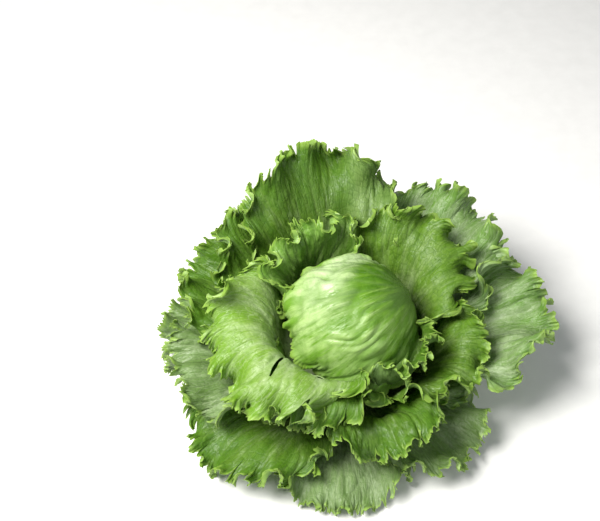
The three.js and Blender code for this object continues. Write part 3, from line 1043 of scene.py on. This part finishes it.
# How far the patterns shift the tone, and between which values each tint sets in and how strongly.
CLOUD_SHIFT = (-0.14, 0.14)
STREAK_SHIFT = (-0.26, 0.2)
FINE_SHIFT = 0.14
# Low side: a greener colour and painted shade on the head's lower side. High: the painted highlight on its
# upper side.
LOW_SIDE_GREEN_AND_SHADE = (0.0, -0.45, 0.0, 0.65)
HIGHLIGHT_SIDE = (0.0, 0.3, 0.0, 0.72)
HIGHLIGHT_START = (0.5, 0.65, 0.0, 1.0)
HIGHLIGHT_END = (0.76, 0.9, 1.0, 0.0)
# Half: painted shade on the bright leaf's lower side, a paler side on the tall leaf.
HALF_SHADE_AND_TINT_SHARE = 0.6
MOTTLE_SHARE = (0.45, 0.75, 0.0, 0.5)
THREAD_SHARE = 0.4
RIB_SHARE = 0.5
VEIN_FADE = (0.2, 1.0)
VEIN_LEFT = 0.25
UNDER_SHARE = 0.45
# Edge: a pale rim, partly painted highlight.
PALE_EDGE_AND_HIGHLIGHT_SHARE = (0.96, 1.0, 0.0, 0.75)
SPECK_SHARE = (0.014, 0.02, 0.9, 0.0)

# The fine bumps of a leaf, in shares of the bump's distance in metres.
MOTTLE_HEIGHT = 0.35
STREAK_HEIGHT = 0.7
FINE_HEIGHT = 0.55
THREAD_DEPTH = 0.12
NET_BUMP = (0.15, 0.14)
RIB_BUMP = (0.12, 0.16)
BUMP = {"Strength": 0.8, "Distance": 0.0015}
ROUGHER = 0.14


def leaf_material(name, look):
    """A glossy leaf: pale at its base and in streaks along its veins, greener outward."""
    s = Shader(name)
    marks = look["marks"]
    parts = s.add("SeparateXYZ", {0: s.attribute("blade", "Vector")})
    margin, out, under = (parts.outputs[axis] for axis in "XYZ")
    vein, halo, valley_shade = (s.attribute(key, "Fac") for key in ("vein", "halo", "valley_shade"))
    flat, fan = (s.attribute(key, "Vector") for key in ("flat", "fan"))
    cloud = s.noise(flat, *CLOUD)
    mottle = s.noise(flat, *MOTTLE)
    streak = s.noise(fan, *STREAK)
    fine = s.noise(fan, *FINE)
    drift = s.noise(flat, *DRIFT, output=1)
    net = s.cells(s.moved(flat, drift, NET_DRIFT), NET_SCALE)
    ribs = s.cells(s.moved(fan, drift, RIB_DRIFT), RIB_SCALE)
    threads = s.math("SUBTRACT", s.noise(fan, *THREADS), 0.5)
    net_shade_line = s.spread(net, 0.0, NET_LINE, 1.0, 0.0)
    rib_line = s.spread(ribs, 0.0, RIB_LINE, 1.0, 0.0)
    thread_line = s.spread(s.math("ABSOLUTE", threads, 0.0), 0.0, THREAD_LINE, 1.0, 0.0)

    shifted = s.plus(out, s.spread(cloud, *NOISE_RANGE, *CLOUD_SHIFT))
    shifted = s.plus(shifted, s.spread(streak, *NOISE_RANGE, *STREAK_SHIFT))
    shifted = s.plus(shifted, s.spread(fine, *NOISE_RANGE, -FINE_SHIFT * marks, FINE_SHIFT * marks))
    shifted = s.math("SUBTRACT", shifted, s.times(halo, look["halo_share"]))
    if "stops" in look:
        tone = s.ramp(shifted, look["stops"])
    else:
        tone = s.ramp(shifted, list(zip(TONE_STOPS, (look["base"], look["middle"], look["outer"]))))
    # The head's lower side is darker, partly a greener colour and partly painted shade; its upper side gets
    # a painted highlight.
    if "low" in look:
        tone = s.mix(s.spread(margin, *LOW_SIDE_GREEN_AND_SHADE), tone, look["low"])
        highlight_area = s.times(s.spread(margin, *HIGHLIGHT_SIDE), s.spread(out, *HIGHLIGHT_START))
        tone = s.mix(s.times(highlight_area, s.spread(out, *HIGHLIGHT_END)), tone, look["high"])
    # Half: on the bright leaf painted shade on its lower side, on the tall leaf a paler side.
    if "half" in look:
        half = s.spread(margin, *look["half_at"], 0.0, HALF_SHADE_AND_TINT_SHARE)
        tone = s.mix(s.times(half, s.spread(out, *look["half_out"], 0.0, 1.0)), tone, look["half"])
    fading = s.spread(out, *VEIN_FADE, look["vein_share"], VEIN_LEFT * look["vein_share"])
    # Dark spots are the leaf's own colour; the dark in the valleys of folds and along the net lines is
    # painted shade.
    tints = [
        ("dark_marks_and_shade", s.spread(mottle, *MOTTLE_SHARE)),
        # Painted shade in the valleys of the folds.
        ("dark_marks_and_shade", s.times(valley_shade, look["valley_shade"])),
        # Painted shade along the net of fine grooves.
        ("dark_marks_and_shade", s.times(net_shade_line, look["net"])),
        (look["thread"], s.times(thread_line, THREAD_SHARE * marks)),
        ("vein", s.times(rib_line, RIB_SHARE * marks * look["vein_share"])),
        ("vein", s.times(vein, fading)),
    ]
    if "under" in look:
        tints.append(("under", s.times(under, UNDER_SHARE)))
    for tint, share in tints:
        tone = s.mix(share, tone, look[tint])
    # A pale rim on the margin, partly painted highlight where the margin catches the light.
    tone = s.mix(s.spread(out, *PALE_EDGE_AND_HIGHLIGHT_SHARE), tone, PALE_EDGE_AND_HIGHLIGHT)
    if "speck" in look:
        away = s.add("TexVoronoi", {"Vector": flat, "Scale": SPECK_SCALE}).outputs["Distance"]
        tone = s.mix(s.spread(away, *SPECK_SHARE), tone, look["speck"])

    height = s.times(mottle, MOTTLE_HEIGHT)
    height = s.plus(height, s.spread(net, 0.0, NET_BUMP[0], 0.0, NET_BUMP[1] * marks))
    height = s.plus(height, s.times(streak, STREAK_HEIGHT))
    height = s.plus(height, s.times(fine, FINE_HEIGHT * marks))
    height = s.plus(height, s.spread(ribs, 0.0, RIB_BUMP[0], 0.0, RIB_BUMP[1] * marks))
    height = s.math("SUBTRACT", height, s.times(thread_line, THREAD_DEPTH * marks))
    bump = s.get("Bump", {"Height": height, **BUMP})
    rough = s.spread(cloud, *NOISE_RANGE, look["gloss"], look["gloss"] + ROUGHER)
    skin = s.skin(tone, rough, Normal=bump)
    light = s.mix(0.5, tone, GLOW_TINT)
    through = s.get("BsdfTranslucent", {"Color": light, "Normal": bump})
    return s.finish(s.get("MixShader", {0: GLOW, 1: skin, 2: through}))


# The heart, the stump's cut face and side, and the paper under the lettuce: tones, and scale and detail of
# the noise on them.
HEART_TONES = [(0.3, (0.40, 0.60, 0.16)), (0.7, (0.62, 0.76, 0.34))]
HEART_STREAK = (0.70, 0.80, 0.46)
HEART_CLOUDS = (22.0, 3.0)
HEART_STREAKS = (90.0, 4.0)
STUMP_FACE = [(0.0, (0.72, 0.76, 0.52)), (0.62, (0.66, 0.70, 0.40)), (0.9, (0.48, 0.36, 0.18))]
STUMP_SIDE = ((0.58, 0.66, 0.36), (0.44, 0.55, 0.24))
STUMP_GRAIN = (160.0, 4.0)
STUMP_STAIN = (60.0, 3.0)
PAPER_TONES = [(0.3, (0.86, 0.86, 0.85)), (0.7, (0.90, 0.90, 0.89))]
PAPER_GRAIN = (40.0, 4.0)
PAPER_ROUGHNESS = 0.8


def heart_material():
    """The tight inner leaves: pale yellow green in folds."""
    s = Shader("heart_leaves")
    place = s.add("TexCoord").outputs["Object"]
    cloud = s.noise(place, *HEART_CLOUDS)
    streak = s.noise(place, *HEART_STREAKS)
    tone = s.mix(s.spread(streak, 0.4, 0.7, 0.0, 0.5), s.ramp(cloud, HEART_TONES), HEART_STREAK)
    bump = s.get("Bump", {"Height": streak, "Strength": 0.4, "Distance": 0.002})
    rough = s.spread(cloud, *NOISE_RANGE, 0.32, 0.45)
    return s.finish(s.skin(tone, rough, Normal=bump))


def stem_material():
    """The stump: a milky cut face going brown at its rim, and a pale green side."""
    s = Shader("cut_stump")
    place = s.add("TexCoord").outputs["Object"]
    up = s.add("SeparateXYZ", {0: place}).outputs["Z"]
    around = s.get("VectorMath", {0: place, 1: (1.0, 1.0, 0.0)}, operation="MULTIPLY")
    radius = s.add("VectorMath", {0: around}, operation="LENGTH").outputs["Value"]
    grain = s.noise(place, *STUMP_GRAIN)
    stain = s.noise(place, *STUMP_STAIN)
    ring = s.plus(radius, s.spread(stain, *NOISE_RANGE, -0.002, 0.002))
    face = s.ramp(s.spread(ring, 0.0, STEM_RADIUS * METRES, 0.0, 1.0), STUMP_FACE)
    side = s.mix(s.spread(grain, 0.4, 0.6, 0.0, 1.0), *STUMP_SIDE)
    tone = s.mix(s.spread(up, 0.0004, 0.002, 0.0, 1.0), face, side)
    bump = s.get("Bump", {"Height": grain, "Strength": 0.4, "Distance": 0.001})
    rough = s.spread(stain, *NOISE_RANGE, 0.4, 0.65)
    return s.finish(s.skin(tone, rough, Normal=bump))


def floor_material():
    """Pale matt studio paper."""
    s = Shader("studio_paper")
    grain = s.noise(s.add("TexCoord").outputs["Object"], *PAPER_GRAIN)
    return s.finish(s.skin(s.ramp(grain, PAPER_TONES), PAPER_ROUGHNESS))


def add_heart():
    """The dense ball of inner leaves, with folds that twist up it."""
    around = np.arange(HEART_SIDES) / HEART_SIDES * 2 * np.pi
    tilt = np.linspace(-np.pi / 2, np.pi / 2, HEART_ROWS + 1)[1:-1]
    angle, rise = np.meshgrid(around, tilt)
    up = np.sin(rise)
    ridge = np.cos(HEART_RIDGES * angle + HEART_TWIST * up) * (1 - up * up)
    radius = HEART_RADIUS + HEART_RIDGE_DEPTH * ridge
    x = radius * np.cos(rise) * np.cos(angle)
    y = radius * np.cos(rise) * np.sin(angle)
    z = HEAD_HEIGHT + HEAD_SQUASH * radius * up
    poles = [[0, 0, HEAD_HEIGHT + way * HEAD_SQUASH * HEART_RADIUS] for way in (-1, 1)]
    points = np.concatenate([np.stack([x.ravel(), y.ravel(), z.ravel()], 1), poles])
    add_piece("heart_ball", points, ball_faces(len(tilt), HEART_SIDES), heart_material(), "heart")


def ball_faces(rows, sides):
    """Triangles over rings of points from the bottom up, closed by a last pair of end points."""
    bottom, top = rows * sides, rows * sides + 1
    i = np.arange(sides)
    j = (i + 1) % sides
    faces = [np.stack([np.full(sides, bottom), j, i], 1)]
    for row in range(rows - 1):
        low, high = row * sides, (row + 1) * sides
        faces.append(np.stack([low + i, low + j, high + j], 1))
        faces.append(np.stack([low + i, high + j, high + i], 1))
    last = (rows - 1) * sides
    faces.append(np.stack([last + i, last + j, np.full(sides, top)], 1))
    return np.concatenate(faces)


def add_stem():
    """The stump: a knife-cut foot, leaf scars round its side, and a top that cups the heart."""
    cup = HEART_RADIUS + HEART_RIDGE_DEPTH + CLEARANCE
    rim = HEAD_HEIGHT - HEAD_SQUASH * math.sqrt(cup**2 - STEM_RADIUS**2)
    foot = [(STEM_CUT_RADIUS * k / STEM_FOOT_STEPS, 0.0) for k in range(1, STEM_FOOT_STEPS + 1)]
    side = []
    for k in range(STEM_SIDE_STEPS + 1):
        side.append((STEM_RADIUS, STEM_EDGE + (rim - STEM_EDGE) * k / STEM_SIDE_STEPS))
    top = []
    for k in range(1, STEM_FOOT_STEPS):
        r = STEM_RADIUS * (1 - k / STEM_FOOT_STEPS)
        top.append((r, HEAD_HEIGHT - HEAD_SQUASH * math.sqrt(cup**2 - r**2)))
    around = np.arange(STEM_SIDES) / STEM_SIDES * 2 * np.pi
    rings = []
    for r, z in foot + side + top:
        on_side = smooth(z, STEM_EDGE, STEM_EDGE + SCAR_EASE) * smooth(rim - z, 0, SCAR_EASE)
        bands = np.maximum(0, np.sin(SCAR_COUNT * around + SCAR_TWIST * z)) ** SCAR_POWER
        radius = r - SCAR_DEPTH * on_side * bands
        ring = [radius * np.cos(around), radius * np.sin(around), np.full_like(around, z)]
        rings.append(np.stack(ring, 1))
    poles = [[0, 0, 0], [0, 0, HEAD_HEIGHT - HEAD_SQUASH * cup]]
    points = np.concatenate([*rings, poles])
    faces = ball_faces(len(rings), STEM_SIDES)
    add_piece("stump", points, faces, stem_material(), "cut_stem", sharp=STEM_SHARP)


def add_leaves():
    """The two cap leaves and all the wrappers."""
    materials = {name: leaf_material("leaf_" + name, look) for name, look in LOOKS.items()}
    for i, cap in enumerate(CAPS):
        leaf = dict(
            cap,
            widest=CAP_WIDEST,
            seed=CAP_FIRST_SEED + i,
            blisters=CAP_BLISTERS,
            creases=cap["relief"] ** 2,
            curls=CAP_CURLS * cap["relief"] ** 2,
            teeth=CAP_TEETH,
            clefts=CAP_CLEFTS,
        )
        node = f"cap_leaf_{i + 1}"
        zones = CAP_ZONES if cap["relief"] == 1 else UNDER_ZONES
        add_blade("fine_" + node, leaf, zones, cap_sheet, materials["cap"], node)
    for i, row in enumerate(WRAPPERS):
        rank = i / (len(WRAPPERS) - 1)
        wrapper = dict(PLAIN_WRAPPER, **dict(zip(WRAPPER_FIELDS, row)))
        wrapper.update(WRAPPER_EXTRAS.get(i + 1, {}))
        hug = [a + (b - a) * rank for a, b in zip(HUG_INNER, HUG_OUTER)]
        look = wrapper["look"]
        leaf = dict(
            wrapper,
            widest=WRAPPER_WIDEST,
            base=INNERMOST_BASE - BASE_STEP * i,
            headings=[*hug, *wrapper["flare"]],
            seed=i + 1,
            blisters=BLISTERED.get(look, 1.0),
            creases=WRAPPER_CREASES,
            teeth=SMOOTHER.get(look, 1.0),
            clefts=1.0,
            curls=1.0,
            ruffles=RUFFLES.get(look, 1.0),
        )
        node = f"wrapper_leaf_{i + 1:02d}"
        zones = TORN_ZONES if "tears" in wrapper else ZONES
        add_blade("fine_" + node, leaf, zones, wrapper_sheet, materials[look], node)


# The camera looks down at the head as in the photograph.
CAMERA_RISE = 48
CAMERA_AWAY = 1.2
PIXEL = 0.00109
PICTURE_WIDTH = 600
HEAD_RIGHT = 52
HEAD_DOWN = 61.5
SENSOR = 36

# The floor and the lights, in metres and watts.
FLOOR_HALF = 4.0
SURROUND_TINT = (0.94, 0.97, 1.0)
SURROUND_STRENGTH = 0.18
LIGHTS = {
    "key": dict(place=(-0.75, -0.3, 1.35), size=0.75, power=46, tint=(1.0, 0.98, 0.94)),
    "fill": dict(place=(0.9, -0.9, 0.9), size=1.0, power=5, tint=(0.95, 0.98, 1.0)),
}


def add_camera():
    """A camera at the photograph's height and distance, with the head off its centre."""
    rise = math.radians(CAMERA_RISE)
    back = Vector((0, -math.cos(rise), math.sin(rise)))
    right = Vector((1, 0, 0))
    up = back.cross(right)
    camera = bpy.data.objects.new("camera", bpy.data.cameras.new("camera"))
    camera.data.sensor_width = SENSOR
    camera.data.lens = SENSOR * CAMERA_AWAY / PIXEL / PICTURE_WIDTH
    head = Vector((0, 0, HEAD_HEIGHT * METRES))
    place = head - right * HEAD_RIGHT * PIXEL + up * HEAD_DOWN * PIXEL + back * CAMERA_AWAY
    turn = Matrix((right, up, back)).transposed().to_4x4()
    camera.matrix_world = Matrix.Translation(place) @ turn
    bpy.context.scene.collection.objects.link(camera)
    bpy.context.scene.camera = camera


def add_light(name, place, size, power, tint):
    """A soft square light that faces the head."""
    lamp = bpy.data.lights.new(name, "AREA")
    lamp.shape = "SQUARE"
    lamp.size = size
    lamp.energy = power
    lamp.color = tint
    light = bpy.data.objects.new(name, lamp)
    light.location = place
    aim = Vector((0, 0, HEAD_HEIGHT * METRES)) - light.location
    light.rotation_euler = aim.to_track_quat("-Z", "Y").to_euler()
    bpy.context.scene.collection.objects.link(light)


def add_studio():
    """A pale floor, a bright even surround and two soft lights."""
    corners = [(x * FLOOR_HALF, y * FLOOR_HALF, 0) for x, y in ((-1, -1), (1, -1), (1, 1), (-1, 1))]
    sheet = bpy.data.meshes.new("floor")
    sheet.from_pydata(corners, [], [(0, 1, 2, 3)])
    sheet.materials.append(floor_material())
    floor = bpy.data.objects.new("floor", sheet)
    bpy.context.scene.collection.objects.link(floor)
    world = bpy.data.worlds.new("surround")
    world.use_nodes = True
    surround = world.node_tree.nodes["Background"]
    surround.inputs["Color"].default_value = (*SURROUND_TINT, 1.0)
    surround.inputs["Strength"].default_value = SURROUND_STRENGTH
    bpy.context.scene.world = world
    for name, light in LIGHTS.items():
        add_light(name, **light)
    bpy.context.scene.view_settings.view_transform = "Standard"


add_heart()
add_stem()
add_leaves()
add_camera()
add_studio()
